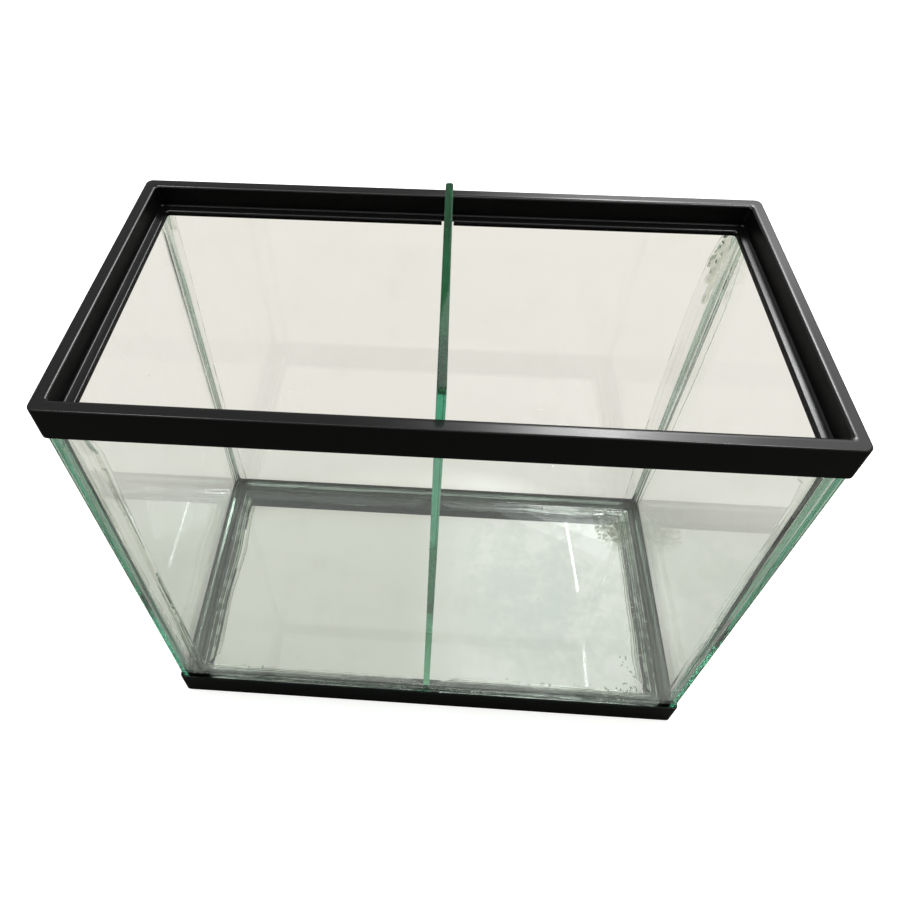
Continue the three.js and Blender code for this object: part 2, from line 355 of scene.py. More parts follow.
# How much haze, stains and specks veil the glass, and the tone they give it. The haze was wiped in
# streaks, and a stain is a puddle that dried on the pane
def paneDirt(tree, place, stains):
    values = floatGlass
    blotches = grain(tree, place, values["blotchSize"], 4.0, 0.6)
    blotch = addNode(tree, "MapRange", (blotches, *values["blotchBand"]), **smooth)
    streaks = grain(tree, place, values["streakSize"], 3.0, 0.5, (1, 1, 0.1))
    streak = addNode(tree, "MapRange", (streaks, *values["streakBand"]), **smooth)
    wiped = addNode(tree, "Math", (blotch, streak), operation="MULTIPLY")
    haze = addNode(tree, "Math", (wiped, values["haze"]), operation="MULTIPLY")
    tint = hexColour(values["hazeTone"])
    for stain in stains:
        away = addNode(tree, "VectorMath", (place, stain["place"]), operation="DISTANCE")
        puddle = addNode(tree, "MapRange", (away, stain["radius"], stain["radius"] * 0.2), **smooth)
        mottles = grain(tree, place, stain["mottleSize"], 5.0, 0.7)
        mottle = addNode(tree, "MapRange", (mottles, *values["mottleBand"]), **smooth)
        dried = addNode(tree, "Math", (puddle, mottle), operation="MULTIPLY")
        crust = addNode(tree, "Math", (dried, stain["strength"]), operation="MULTIPLY")
        haze = addNode(tree, "Math", (haze, crust), operation="MAXIMUM")
        tint = addNode(tree, "Mix", {0: dried, 6: tint, 7: hexColour(stain["tone"])}, data_type="RGBA")
    cells = addNode(tree, "TexVoronoi", {"Vector": place, "Scale": 1 / values["speckSpacing"]}).outputs
    size, least = values["speckSize"], 1 - values["speckChance"]
    dot = addNode(tree, "MapRange", (cells["Distance"], size, size * 0.5), **smooth)
    draw = addNode(tree, "SeparateColor", (cells["Color"],))
    kept = addNode(tree, "MapRange", (draw, least, least + 0.01, 0.0, values["speckStrength"]), **smooth)
    speck = addNode(tree, "Math", (dot, kept), operation="MULTIPLY")
    veil = addNode(tree, "Math", (haze, speck), operation="MAXIMUM")
    veiled = addNode(tree, "MapRange", (veil, 0.0, values["fullVeil"]), **smooth)
    tone = addNode(tree, "Mix", {0: speck, 6: tint, 7: hexColour(values["speckTone"])}, data_type="RGBA")
    clean = addNode(tree, "Mix", {0: veiled, 6: hexColour("ffffff"), 7: tone}, data_type="RGBA")
    return veil, clean


# The divider's edges are polished between matt arrises, and its raw foot is broken into milky facets. The
# foot's bright green tone, set in glassMaterial, is a painted glow of the green light carried down the sheet
def sheetEdge(tree, place, edge):
    values = floatGlass
    facing = addNode(tree, "TexCoord").outputs["Normal"]
    sideways = addNode(tree, "SeparateXYZ", (facing,))
    tilted = addNode(tree, "Math", (sideways,), operation="ABSOLUTE")
    slant = addNode(tree, "MapRange", (tilted, *values["arrisTilt"]), **smooth)
    matt = addNode(tree, "MapRange", (slant, 0.0, 1.0, *values["arrisRoughness"]), **smooth)
    polished = addNode(tree, "Math", (edge, matt), operation="MULTIPLY")
    height = addNode(tree, "SeparateXYZ", (place,)).outputs[2]
    below = addNode(tree, "MapRange", (height, *dividerSheet["rawFoot"]), **smooth)
    foot = addNode(tree, "Math", (edge, below), operation="MULTIPLY")
    shards = grain(tree, place, values["facetSize"], 3.0, 0.6)
    facets = addNode(tree, "MapRange", (shards, *values["facetBand"]), **smooth)
    broken = addNode(tree, "MapRange", (facets, 0, 1, *values["rawRoughness"]), **smooth)
    rawRough = addNode(tree, "Math", (foot, broken), operation="MULTIPLY")
    rough = addNode(tree, "Math", (polished, rawRough), operation="MAXIMUM")
    worn = addNode(tree, "Math", (polished, values["arrisNibble"]), operation="MULTIPLY")
    nibble = addNode(tree, "Math", (worn, foot), operation="MAXIMUM")
    depths = (values["nibbleDepth"], values["rawDepth"])
    depth = addNode(tree, "MapRange", (foot, 0.0, 1.0, *depths), **smooth)
    milky = addNode(tree, "Math", (foot, facets), operation="MULTIPLY")
    milk = addNode(tree, "Math", (milky, values["facetMilk"]), operation="MULTIPLY")
    return rough, nibble, depth, milk, foot


def glassMaterial(name, box, rimAxis, arris, stains=(), sheet=False):
    values = floatGlass
    material, tree = newMaterial(name)
    place = addNode(tree, "TexCoord").outputs["Object"]
    edge = dryEdge(tree, place, box, rimAxis, arris, sheet)
    veil, tone = paneDirt(tree, place, stains)
    clear = addNode(tree, "Math", (1.0, veil), operation="SUBTRACT")
    if sheet:
        rough, nibble, depth, milk, foot = sheetEdge(tree, place, edge)
        # The raw foot takes a bright green tone, a painted glow of the light carried down the sheet
        tone = addNode(tree, "Mix", {0: foot, 6: tone, 7: hexColour(values["rawGlowTone"])}, data_type="RGBA")
        clear = addNode(tree, "Math", (clear, milk), operation="SUBTRACT")
    else:
        rough = addNode(tree, "Math", (edge, values["edgeRoughness"]), operation="MULTIPLY")
        nibble = addNode(tree, "Math", (edge, values["edgeNibble"]), operation="MULTIPLY")
        depth = values["nibbleDepth"]
    nibbles = grain(tree, place, values["nibbleSize"], 3.0, 0.6)
    bump = addNode(tree, "Bump", {"Strength": nibble, "Distance": depth, "Height": nibbles})
    glass = addNode(tree, "BsdfPrincipled", {
        "Base Color": tone, "IOR": values["ior"], "Transmission Weight": clear,
        "Roughness": rough, "Normal": bump,
    })
    closeGlass(tree, glass, values)
    return material


# Clear silicone sealant, spread with a finger: glossy, with fine ripples, faintly milky where it is thick.
# Its milk also paints highlights: white along the groove lines and on the whitest crumbs
silicone = {
    "ior": 1.41,
    "absorbed": (9.0, 7.5, 10.0),
    "density": 20.0,
    "shadowTint": "f0f4f0",
    "milk": 0.07,
    "ripple": 0.08,
    "roughness": 0.04,
    "tones": ("dcdfd1", "d0d5c6"),
    "cloudSize": 11 * mm,
    "cloudBand": (0.35, 0.75, 0.3, 1.6),
    "rippleSize": 1.8 * mm,
    "rippleDepth": 0.2 * mm,
    "rubbedBand": (0.3, 0.8, 0.3, 1.0),
}


# Silicone that isn't bulky fills a joint: it wets the glass all over and stays perfectly clear
def siliconeMaterial(name, bulky=True):
    values = silicone
    material, tree = newMaterial(name)
    if not bulky:
        gel = addNode(tree, "BsdfPrincipled", {
            "Base Color": hexColour("ffffff"), "IOR": values["ior"],
            "Transmission Weight": 1.0, "Roughness": 0.0,
        })
        closeGlass(tree, gel, values)
        return material
    place = addNode(tree, "TexCoord").outputs["Object"]
    # Each piece stores how milky it is as an attribute: 0 where it wets the glass, 1 on the crown of a bead,
    # more on lumps, and far more along the white groove lines and on the whitest crumbs, where the milk is a
    # painted highlight
    bulk = addNode(tree, "Attribute", attribute_name="bulk").outputs["Fac"]
    skin = addNode(tree, "Math", (bulk, 1.0), operation="MINIMUM")
    cloud = grain(tree, place, values["cloudSize"], 4.0)
    cloudy = addNode(tree, "MapRange", (cloud, *values["cloudBand"]), **smooth)
    milky = addNode(tree, "Math", (cloudy, values["milk"]), operation="MULTIPLY")
    milk = addNode(tree, "Math", (milky, bulk), operation="MULTIPLY")
    clear = addNode(tree, "Math", (1.0, milk), operation="SUBTRACT")
    first, second = (hexColour(tone) for tone in values["tones"])
    thick = addNode(tree, "Mix", {0: cloud, 6: first, 7: second}, data_type="RGBA")
    tone = addNode(tree, "Mix", {0: skin, 6: hexColour("ffffff"), 7: thick}, data_type="RGBA")
    ripple = grain(tree, place, values["rippleSize"], 2.0)
    rubbed = addNode(tree, "MapRange", (ripple, *values["rubbedBand"]), **smooth)
    gloss = addNode(tree, "Math", (rubbed, values["roughness"]), operation="MULTIPLY")
    rough = addNode(tree, "Math", (gloss, skin), operation="MULTIPLY")
    rippled = addNode(tree, "Math", (skin, values["ripple"]), operation="MULTIPLY")
    bump = addNode(tree, "Bump", {"Strength": rippled, "Distance": values["rippleDepth"], "Height": ripple})
    gel = addNode(tree, "BsdfPrincipled", {
        "Base Color": tone, "IOR": values["ior"], "Transmission Weight": clear,
        "Roughness": rough, "Normal": bump,
    })
    closeGlass(tree, gel, values)
    return material


# Injection moulded polystyrene: black through and through, polished on top, satin on the upright faces,
# with a slight orange peel, and dust and scuffs on what faces up
plastic = {
    "ior": 1.5,
    "colour": "101110",
    "dust": "2b2c2a",
    "polish": 0.16,
    "satin": 0.4,
    "polishShine": 0.5,
    "satinShine": 0.05,
    "topTilt": (0.15, 0.6),
    "dustSize": 1.3 * mm,
    "dustBand": (0.6, 0.8),
    "smearSize": 30 * mm,
    "smearBand": (0.4, 0.65),
    "scuffSize": 1.5 * mm,
    "scuffBand": (0.58, 0.8),
    "scuffRoughness": 0.06,
    "peelSize": 4 * mm,
    "peelDepth": 0.12 * mm,
    "peel": 0.1,
    "dullShare": 0.3,
}


def plasticMaterial(name, polishShine):
    values = plastic
    material, tree = newMaterial(name)
    texture = addNode(tree, "TexCoord").outputs
    place = texture["Object"]
    facing = addNode(tree, "SeparateXYZ", (texture["Normal"],)).outputs[2]
    upward = addNode(tree, "MapRange", (facing, *values["topTilt"]), **smooth)
    specks = grain(tree, place, values["dustSize"], 5.0, 0.7)
    dust = addNode(tree, "MapRange", (specks, *values["dustBand"]), **smooth)
    settled = addNode(tree, "Math", (dust, upward), operation="MULTIPLY")
    smear = grain(tree, place, values["smearSize"], 4.0, 0.6)
    left = addNode(tree, "MapRange", (smear, *values["smearBand"]), **smooth)
    dusty = addNode(tree, "Math", (settled, left), operation="MULTIPLY")
    clean, dull = hexColour(values["colour"]), hexColour(values["dust"])
    tone = addNode(tree, "Mix", {0: dusty, 6: clean, 7: dull}, data_type="RGBA")
    scratches = grain(tree, place, values["scuffSize"], 3.0, 0.6, (0.06, 1, 1))
    scuff = addNode(tree, "MapRange", (scratches, *values["scuffBand"]), **smooth)
    wear = addNode(tree, "Math", (scuff, smear), operation="ADD")
    worn = addNode(tree, "Math", (wear, values["scuffRoughness"]), operation="MULTIPLY")
    sheen = addNode(tree, "MapRange", (upward, 0.0, 1.0, values["satin"], values["polish"]), **smooth)
    rough = addNode(tree, "Math", (sheen, worn), operation="ADD")
    shine = addNode(tree, "MapRange", (upward, 0.0, 1.0, values["satinShine"], polishShine), **smooth)
    peel = grain(tree, place, values["peelSize"])
    bump = addNode(tree, "Bump", {
        "Strength": values["peel"], "Distance": values["peelDepth"], "Height": peel,
    })
    base = addNode(tree, "BsdfPrincipled", {
        "Base Color": tone, "IOR": values["ior"], "Roughness": rough,
        "Specular IOR Level": shine, "Normal": bump,
    })
    addNode(tree, "OutputMaterial", {"Surface": base})
    return material


def setFinish(piece, material):
    if piece.material_slots:
        for slot in piece.material_slots:
            slot.material = material
    else:
        piece.data.materials.append(material)


siliconeGel = siliconeMaterial("tooledSilicone")
jointSilicone = siliconeMaterial("bondedSilicone", bulky=False)
polishedPlastic = plasticMaterial("polishedPolystyrene", plastic["polishShine"])
satinPlastic = plasticMaterial("satinPolystyrene", plastic["polishShine"] * plastic["dullShare"])
for name in ("top_frame_bond", "base_frame_bond"):
    setFinish(nodes[name], jointSilicone)
# A pane's dry axis, how far its ground edge reaches and its stains. The floor pane has no dry edge,
# which a reach below zero says. Its stains are a wide smear and a brown puddle in the back right corner
paneEdges = {
    "floor_glass": (2, -1 * mm, (
        {
            "place": (0.14, 0.0, 0.024), "radius": 150 * mm, "mottleSize": 45 * mm,
            "strength": 0.06, "tone": "f2f6f6",
        },
        {
            "place": (0.224, 0.084, 0.024), "radius": 30 * mm, "mottleSize": 6 * mm,
            "strength": 0.5, "tone": "9a947a",
        },
    )),
    "front_glass": (0, 0.5 * mm, ()),
    "back_glass": (0, 0.5 * mm, ()),
    "left_glass": (2, 0.5 * mm, ()),
    "right_glass": (2, 0.5 * mm, ()),
}
for name, (rimAxis, arris, stains) in paneEdges.items():
    setFinish(nodes[name], glassMaterial("float_" + name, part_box(name), rimAxis, arris, stains))
print("finishes made")


# Faces from each ring to the next, with both ends closed unless the rings run round to the first
def skinRings(work, rings, capped=True):
    for ring, after in zip(rings, rings[1:]):
        for spot in range(len(ring)):
            other = (spot + 1) % len(ring)
            work.faces.new((ring[spot], ring[other], after[other], after[spot]))
    if capped:
        work.faces.new(rings[0])
        work.faces.new(rings[-1])


def buildObject(name, build):
    work = bmesh.new()
    build(work)
    bmesh.ops.remove_doubles(work, verts=work.verts, dist=0.001 * mm)
    bmesh.ops.recalc_face_normals(work, faces=work.faces)
    mesh = bpy.data.meshes.new(name)
    work.to_mesh(mesh)
    work.free()
    mesh.shade_smooth()
    built = bpy.data.objects.new(name, mesh)
    scene.collection.objects.link(built)
    return built


def newPiece(name, build, material, body, slot, *replaced, sharpAngle=40):
    piece = buildObject(name, build)
    piece.data.set_sharp_from_angle(angle=math.radians(sharpAngle))
    setFinish(piece, material)
    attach(piece, body)
    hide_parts(*replaced)


# Frames: a section swept round the tank, its edges rounded, with a narrow band beside each round
# so that the flat faces stay flat in the light. The radii are those of the corners seen from above
frameShape = {
    "roundSteps": 7,
    "cornerSteps": 9,
    "guard": 0.12 * mm,
    "outerCorner": 5 * mm,
    "landCorner": 3 * mm,
    "lipCorner": 2.5 * mm,
    "channelCorner": 1 * mm,
    "brokenEdge": 0.4 * mm,
}
frameHalf = Vector((cadBox[1].x, cadBox[1].y))


# Each corner is its inset from the outside, its height, its plan radius and its round: 0, one radius,
# or a pair for the reach before and after the corner
def roundedSection(corners):
    section = []
    steps, guard = frameShape["roundSteps"], frameShape["guard"]
    for spot, (inset, height, planRadius, radius) in enumerate(corners):
        place = Vector((inset, height))
        if not radius:
            section.append((inset, height, planRadius))
            continue
        near, far = radius if isinstance(radius, tuple) else (radius, radius)
        back = (Vector(corners[spot - 1][:2]) - place).normalized()
        ahead = (Vector(corners[(spot + 1) % len(corners)][:2]) - place).normalized()
        arc = [place + back * (near + guard)]
        for step in range(steps + 1):
            turn = math.pi / 2 * step / steps
            arc.append(place + back * near * (1 - math.sin(turn)) + ahead * far * (1 - math.cos(turn)))
        arc.append(place + ahead * (far + guard))
        section += [(point.x, point.y, planRadius) for point in arc]
    return section


# Plan of one section point: a rounded rectangle. Stops are extra places along the front and back,
# each with whether it lies in a notch
def planLoop(inset, radius, stops):
    half = frameHalf - Vector((inset, inset))
    steps = frameShape["cornerSteps"]
    loop = []
    for corner, (signX, signY) in enumerate(((1, 1), (-1, 1), (-1, -1), (1, -1))):
        for step in range(steps + 1):
            turn = math.pi / 2 * (corner + step / steps)
            loop.append((signX * (half.x - radius) + radius * math.cos(turn),
                         signY * (half.y - radius) + radius * math.sin(turn), False))
        if corner in (0, 2):
            ordered = stops if corner == 2 else list(reversed(stops))
            loop += [(x, signY * half.y, cut) for x, cut in ordered]
    return loop


# In a notch the section is drawn in to what cutAt leaves of it
def sweepFrame(work, section, stops=(), cutAt=None):
    loops = []
    for inset, height, radius in section:
        loop = []
        cutInset, cutHeight = cutAt(inset, height) if cutAt else (inset, height)
        drawnIn = planLoop(cutInset, radius, stops)
        for (x, y, cut), short in zip(planLoop(inset, radius, stops), drawnIn):
            loop.append(work.verts.new((*short[:2], cutHeight) if cut else (x, y, height)))
        loops.append(loop)
    skinRings(work, loops + loops[:1], capped=False)


# Measures in mm, from the outside inwards and from the floor up
topFrame = {
    "skirtWall": 2.25,
    "skirtHeight": 28.25,
    "landWidth": 9.75,
    "landThickness": 2.5,
    "dropWallBack": 8,
    "ledgeDepth": 20.25,
    "ledgeFall": 1.55,
    "ledgeThickness": 2.25,
    "lipInset": 17,
    "lipBack": 15,
    "lipDrop": 24.5,
    "outerRound": 1.0,
    "innerRound": 3.4,
    "innerDrop": 1.7,
    "fillet": 1.2,
    "lipRound": 1.2,
    "notchWidth": 10,
    "notchDepth": 3.25,
}


def topFrameBuilder(work):
    values = {name: value * mm for name, value in topFrame.items()}
    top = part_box("top_frame")[1].z
    skirtBottom, landUnder = top - values["skirtHeight"], top - values["landThickness"]
    ledge, lipBottom = top - values["ledgeDepth"], top - values["lipDrop"]
    ledgeUnder = ledge - values["ledgeThickness"]
    outer, land, lip, channel = (frameShape[name + "Corner"] for name in ("outer", "land", "lip", "channel"))
    broken = frameShape["brokenEdge"]
    section = roundedSection([
        (0, skirtBottom, outer, broken),
        (values["skirtWall"], skirtBottom, channel, broken),
        (values["skirtWall"], landUnder, channel, 0),
        (values["dropWallBack"], landUnder, channel, 0),
        (values["dropWallBack"], ledgeUnder, channel, 0),
        (values["lipBack"], ledgeUnder, channel, 0),
        (values["lipBack"], lipBottom, channel, broken),
        (values["lipInset"], lipBottom, lip, broken),
        (values["lipInset"], ledge, lip, values["lipRound"]),
        (values["landWidth"], ledge + values["ledgeFall"], land, values["fillet"]),
        (values["landWidth"], top, land, (values["innerDrop"], values["innerRound"])),
        (0, top, outer, values["outerRound"]),
    ])
    cutInset = values["lipInset"] - values["notchDepth"]
    cutTop = ledge + values["ledgeFall"] * values["notchDepth"] / (values["lipInset"] - values["landWidth"])
    middle = sum(corner.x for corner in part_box("divider_glass")) / 2
    left, right = middle - values["notchWidth"] / 2, middle + values["notchWidth"] / 2
    stops = [(left, False), (left, True), (right, True), (right, False)]

    def cutAt(inset, height):
        if inset < cutInset:
            return inset, height
        return cutInset, cutTop if height > ledgeUnder + 0.5 * mm else ledgeUnder

    sweepFrame(work, section, stops, cutAt)


baseFrame = {
    "skirtWall": 2.25,
    "skirtHeight": 32,
    "shelfTop": 14,
    "shelfThickness": 3,
    "shelfInset": 24,
    "ribThickness": 2.25,
    "edgeRound": 1.0,
}


def baseFrameBuilder(work):
    values = {name: value * mm for name, value in baseFrame.items()}
    shelfUnder = values["shelfTop"] - values["shelfThickness"]
    ribBack = values["shelfInset"] - values["ribThickness"]
    outer, land, channel = (frameShape[name + "Corner"] for name in ("outer", "land", "channel"))
    sweepFrame(work, roundedSection([
        (0, 0, outer, 0),
        (values["skirtWall"], 0, channel, 0),
        (values["skirtWall"], shelfUnder, channel, 0),
        (ribBack, shelfUnder, channel, 0),
        (ribBack, 0, channel, 0),
        (values["shelfInset"], 0, land, 0),
        (values["shelfInset"], values["shelfTop"], land, values["edgeRound"]),
        (values["skirtWall"], values["shelfTop"], channel, 0),
        (values["skirtWall"], values["skirtHeight"], channel, frameShape["brokenEdge"]),
        (0, values["skirtHeight"], outer, values["edgeRound"]),
    ]))


newPiece("top_frame_moulding", topFrameBuilder, polishedPlastic, "tank", "black_plastic", "top_frame")
newPiece("base_frame_moulding", baseFrameBuilder, satinPlastic, "tank", "black_plastic", "base_frame")
print("frames moulded")

# Where the panes' inner faces are, and where the side panes and the front and back panes end
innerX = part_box("right_glass")[0].x
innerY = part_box("back_glass")[0].y
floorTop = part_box("floor_glass")[1].z
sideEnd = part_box("right_glass")[1].y
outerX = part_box("front_glass")[1].x

# The hand that laid the silicone wasn't steady: how far each measure sways, as a share of itself or,
# for a frayed edge, as a length, and how long one sway is
handSway = {
    "cornerLeg": (0.06, 120 * mm),
    "cornerFilm": (0.025, 45 * mm),
    "cornerFray": (0.25 * mm, 6 * mm),
    "floorLeg": (0.1, 60 * mm),
    "floorFilm": (0.14, 70 * mm),
    "floorFray": (0.6 * mm, 8 * mm),
    "ridge": (0.5, 25 * mm),
    "drip": (0.25, 9 * mm),
}


# Smooth noise along a run, between -1 and 1. Each seed has its own
def wander(seed, along, size):
    return noise.noise(Vector((along / size, seed * 3.17, seed * 1.31)))


def sway(measure, seed, along):
    amount, size = handSway[measure]
    return amount * wander(seed, along, size)


def hump(along, centre, width):
    return math.exp(-((along - centre) / width) ** 2)


def between(pairs, along):
    for (start, low), (end, high) in zip(pairs, pairs[1:]):
        if along <= end:
            share = max(0.0, (along - start) / (end - start))
            return low + (high - low) * share * share * (3 - 2 * share)
    return pairs[-1][1]


# Section of a bead over two faces at right angles, with a thin film smeared past each leg. Its ridges run
# lengthwise, as the finger that pressed it down left them. A film ends in a raised ridge: each step of
# ridgeRise is its place in mm from the edge, its share of the ridge's height and its whiteness, a painted
# highlight along the ridge
beadShape = {
    "sink": -0.05 * mm,
    "tip": 0.5 * mm,
    "film": 0.2 * mm,
    "thinnest": 0.05 * mm,
    "ridge": 0.5 * mm,
    "ridgeRise": ((0.05, 0.5, 0.0), (0.35, 1.0, 0.0), (1.0, 0.8, 0.3)),
    "ridgeWidth": 1.8 * mm,
    "legGap": 0.5 * mm,
    "leastFilm": 1.2 * mm,
    "wideFilm": 4 * mm,
    "groove": 0.2 * mm,
    "curveSteps": 12,
    "combSize": 70 * mm,
    "filmBulk": 0.2,
    "lumpBulk": 0.35,
    "lumpBelow": 2 * mm,
    "lumpLength": 16 * mm,
    "fullest": 0.9,
    "runStep": 2.5 * mm,
    "dripStep": 1 * mm,
    "dripReach": 50 * mm,
    "floorStep": 2 * mm,
    "dividerGap": 0.2 * mm,
    "dividerReach": 16 * mm,
}


# Height of one lane of the finger's track: a groove that runs the whole length and changes slowly
def lane(number, along, steady, change):
    return steady * wander(number, 0.37, 1.0) + change * wander(number + 500, along, beadShape["combSize"])


# The section from the corner out along one face and back along the other, as (u, v, milkiness). Fill is how
# far the face between the legs is from hollow to full, combs are (depth, lanes) for each film, the groove
# whiteness is how white their grooves are, a painted highlight along them, crown how milky the face is,
# reliefAt what lies on top
def beadSection(legs, films, fill, seed, along, combs, grooveGlint, crown, reliefAt=None):
    values = beadShape
    sink, tip, thin, ridge = values["sink"], values["tip"], values["film"], values["ridge"]
    filmBulk = values["filmBulk"]
    halves = []
    for side in (0, 1):
        leg, (comb, lanes) = legs[side], combs[side]
        reach = max(films[side], leg + values["leastFilm"])
        small = min(1.0, (reach - leg) / values["wideFilm"])
        edge = ridge * small * (1 + sway("ridge", seed + 13 + side, along))
        half = [(reach, sink, 0.0)]
        for inward, height, white in values["ridgeRise"]:
            half.append((reach - inward * mm * small, edge * height, filmBulk + white * grooveGlint))
        start, end = reach - values["ridgeWidth"] * small, leg + values["legGap"] * small
        for step in range(lanes):
            u = start + (end - start) * step / (lanes - 1)
            track = lane(seed + 3 * step + 40 * side, along, 1.2, 0.5)
            lump = reliefAt(side, u, along) if reliefAt else 0.0
            # The whiter a groove, the more milk paints a highlight along it
            line = (3 * max(0.0, track - 0.1) + 0.1) ** 2
            bulk = filmBulk + grooveGlint * line + values["lumpBulk"] * lump / mm
            half.append((u, max(values["thinnest"], thin * (1 + comb * track)) + lump, bulk))
        halves.append(half)
    steps = values["curveSteps"]
    curve = []
    for step in range(steps + 1):
        turn = math.pi / 2 * step / steps
        sine, cosine = math.sin(turn), math.cos(turn)
        hollow = (legs[0] - (legs[0] - tip) * sine, legs[1] - (legs[1] - tip) * cosine)
        full = (tip + (legs[0] - tip) * cosine, tip + (legs[1] - tip) * sine)
        groove = values["groove"] * combs[0][0] * crown * lane(seed + 90 + 2 * step, along, 1.0, 0.5)
        bulk = (0.3 + 0.7 * math.sin(2 * turn)) * crown
        curve.append((
            hollow[0] + (full[0] - hollow[0]) * fill + groove,
            hollow[1] + (full[1] - hollow[1]) * fill + groove,
            bulk,
        ))
    return [(sink, sink, 0.0)] + halves[0] + curve + [(v, u, bulk) for u, v, bulk in halves[1][::-1]]


# Closed skin over the sections at each spot along a run, with each point's milkiness kept as an attribute
def sweep(work, spots, sectionAt, placeAt):
    bulk = work.verts.layers.float.get("bulk") or work.verts.layers.float.new("bulk")
    rings = []
    for along in spots:
        ring = []
        for u, v, share in sectionAt(along):
            vertex = work.verts.new(placeAt(along, u, v))
            vertex[bulk] = share
            ring.append(vertex)
        rings.append(ring)
    skinRings(work, rings)


def spread(start, end, step):
    count = max(2, round(abs(end - start) / step))
    return [start + (end - start) * spot / count for spot in range(count + 1)]


# Upright corner beads, in mm. Legs and films are (height, width) up the long pane and up the side pane. A
# drip is its side, the distance from the corner and the height of its two ends, its half width and its
# thickness. Lump is how much fuller the bead gets at its top. Groove whiteness is a painted highlight along
# the grooves
cornerBeads = {
    "front_left": {
        "seed": 11, "lump": 0.1, "fill": 0.5, "crown": 0.0, "grooveGlint": 0.7, "combs": ((0.25, 20), (0.0, 4)),
        "legs": (((24, 4.5), (444, 6.5)), ((24, 8), (444, 10))),
        "films": (
            ((24, 24.6), (63, 24.5), (107, 22.6), (194, 23.3), (289, 24.1), (353, 24.8), (418, 26.6),
             (429, 25), (436, 20), (444, 17)),
            ((24, 11), (200, 12), (444, 13)),
        ),
        "drips": ((0, 17, 420, 13, 440, 5.0, 1.4), (0, 21.5, 110, 21.5, 250, 1.7, 1.0),
                  (0, 20.5, 290, 21, 400, 1.2, 0.4), (0, 22, 30, 21, 120, 1.2, 0.5),
                  (0, 15, 40, 16, 230, 1.0, 0.4)),
    },
    "front_right": {
        "seed": 23, "lump": 0.1, "fill": 0.5, "crown": 0.0, "grooveGlint": 0.1, "combs": ((0.1, 6), (0.0, 4)),
        "legs": (((24, 5), (150, 7.5), (444, 11)), ((24, 8), (444, 16))),
        "films": (
            ((24, 12), (300, 15), (400, 16), (424, 18), (432, 23), (444, 22)),
            ((24, 10), (300, 16), (444, 18)),
        ),
        "drips": ((0, 20, 436, 17, 432, 1.6, 0.9),),
    },
    "back_right": {
        "seed": 37, "lump": 0.4, "fill": 0.45, "crown": 0.3, "grooveGlint": 0.1, "combs": ((0.12, 8), (0.12, 12)),
        "legs": (((24, 4.5), (444, 6.5)), ((24, 8), (444, 11.5))),
        "films": (
            ((24, 14), (171, 19), (246, 21), (363, 22), (410, 20), (432, 17), (444, 13)),
            ((24, 12), (196, 22), (298, 25), (375, 25), (425, 20), (444, 14)),
        ),
        "drips": ((0, 9, 440, 18, 406, 2.6, 4.2), (0, 6, 438, 13, 388, 3.0, 4.8),
                  (0, 8, 400, 10, 362, 2.0, 3.2), (0, 14, 444, 8, 428, 3.8, 4.2),
                  (1, 9, 440, 10, 405, 3.0, 2.6)),
    },
    "back_left": {
        "seed": 41, "lump": 0.4, "fill": 0.45, "crown": 0.3, "grooveGlint": 0.1, "combs": ((0.12, 8), (0.1, 6)),
        "legs": (((24, 4), (444, 5)), ((24, 7), (444, 9))),
        "films": (
            ((24, 12), (200, 9), (444, 11)),
            ((24, 12), (200, 10), (444, 11)),
        ),
        "drips": ((0, 5, 442, 8, 424, 3.0, 1.8), (0, 12, 444, 6, 440, 2.0, 1.4)),
    },
}
cornerSigns = {"front_left": (-1, -1), "front_right": (1, -1), "back_right": (1, 1), "back_left": (-1, 1)}


# How thick the drips lie on one side of a corner bead, u from the corner and at a height along it
def dripHeight(drips, side, u, along):
    most = 0.0
    here = Vector((u, along))
    for which, startU, startZ, endU, endZ, halfWidth, thick in drips:
        if which != side:
            continue
        start, end = Vector((startU, startZ)) * mm, Vector((endU, endZ)) * mm
        path = end - start
        share = min(1.0, max(0.0, (here - start).dot(path) / path.length_squared))
        width = halfWidth * mm * (1 + sway("drip", endZ, along))
        away = (here - start - path * share).length / width
        if away < 1:
            most = max(most, thick * mm * (1 - away * away) ** 0.75)
    return most


def cornerBuilder(corner):
    values = cornerBeads[corner]
    signX, signY = cornerSigns[corner]
    seed = values["seed"]
    bottom = floorTop + beadShape["sink"]
    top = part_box("corner_seal_" + corner)[1].z

    def reliefAt(side, u, along):
        return dripHeight(values["drips"], side, u, along)

    def sectionAt(along):
        lump = values["lump"] * hump(along, top - beadShape["lumpBelow"], beadShape["lumpLength"])
        legs, films = [], []
        for side, film in enumerate(values["films"]):
            wave = 1 + sway("cornerLeg", seed + side, along) + lump * (0.7 - 0.3 * side)
            legs.append(between(values["legs"][side], along / mm) * mm * wave)
            width = between(film, along / mm) * mm * (1 + sway("cornerFilm", seed + 30 + side, along))
            films.append(width + sway("cornerFray", seed + 50 + side, along))
        fill = min(beadShape["fullest"], values["fill"] + lump)
        return beadSection(legs, films, fill, seed, along, values["combs"],
                           values["grooveGlint"], values["crown"], reliefAt)

    def placeAt(along, u, v):
        return (signX * (innerX - u), signY * (innerY - v), along)

    def build(work):
        dripStart = top - beadShape["dripReach"]
        spots = spread(bottom, dripStart, beadShape["runStep"])[:-1]
        spots += spread(dripStart, top, beadShape["dripStep"])
        sweep(work, spots, sectionAt, placeAt)

    return build


for corner in cornerSigns:
    newPiece("corner_bead_" + corner, cornerBuilder(corner), siliconeGel, "tank", "clear_silicone",
             "corner_seal_" + corner)
print("corner beads swept")

